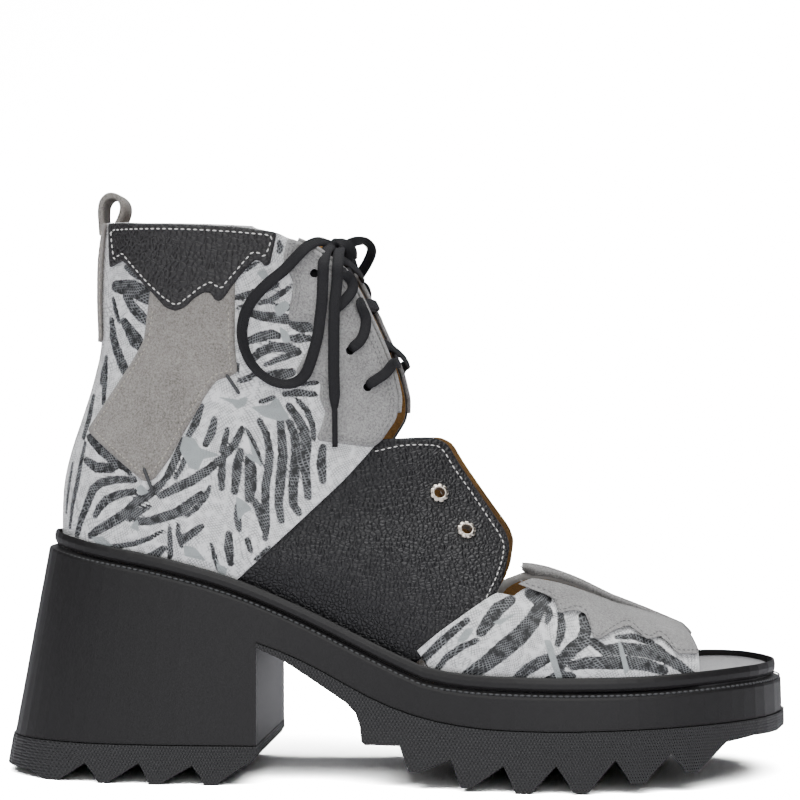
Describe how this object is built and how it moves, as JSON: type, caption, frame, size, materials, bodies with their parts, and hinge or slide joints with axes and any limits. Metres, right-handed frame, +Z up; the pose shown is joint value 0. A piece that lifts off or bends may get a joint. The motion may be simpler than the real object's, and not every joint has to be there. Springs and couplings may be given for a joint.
{
  "type": "boot",
  "caption": "Open-toed leather ankle boot on a lugged platform with a block heel: zebra-print upper with suede and black leather panels, open instep and a lace bow",
  "frame": {"origin": "middle of the boot's length and width on the floor, measured without the bow", "axes": "+X from the heel to the toe, +Y to the inner side of this right shoe, +Z up"},
  "size_m": [0.2752, 0.0904, 0.2049],
  "materials": {
    "textured_rubber": "matt black rubber with a fine bead texture",
    "smooth_unit": "smooth satin black",
    "zebra_leather": "silver-white leather printed with black zebra stripes, tan suede inside",
    "black_grain_leather": "black pebbled leather, soft sheen",
    "grey_suede": "warm grey suede, no gloss",
    "eyelet_metal": "pale nickel",
    "black_lace": "waxed black flat lace"
  },
  "bodies": {
    "root": {"outsole_heel": "textured_rubber", "outsole_forefoot": "textured_rubber", "midsole": "smooth_unit", "rand": "smooth_unit", "upper": "zebra_leather", "insole": "black_grain_leather", "collar_patch_outer": "black_grain_leather", "collar_patch_inner": "black_grain_leather", "side_patch_outer": "grey_suede", "side_patch_inner": "grey_suede", "facing_outer": "grey_suede", "facing_inner": "grey_suede", "toe_patch_outer": "grey_suede", "toe_patch_inner": "grey_suede", "back_strip": "grey_suede", "pull_loop": "grey_suede", "eyelet_outer_1": "eyelet_metal", "eyelet_outer_2": "eyelet_metal", "eyelet_inner_1": "eyelet_metal", "eyelet_inner_2": "eyelet_metal", "lace_cross_1": "black_lace", "lace_cross_2": "black_lace", "lace_cross_3": "black_lace", "lace_knot": "black_lace", "lace_loop_outer": "black_lace", "lace_loop_inner": "black_lace", "lace_end_outer": "black_lace", "lace_end_inner": "black_lace", "lace_tip_outer": "black_lace", "lace_tip_inner": "black_lace"}
  },
  "joints": []
}
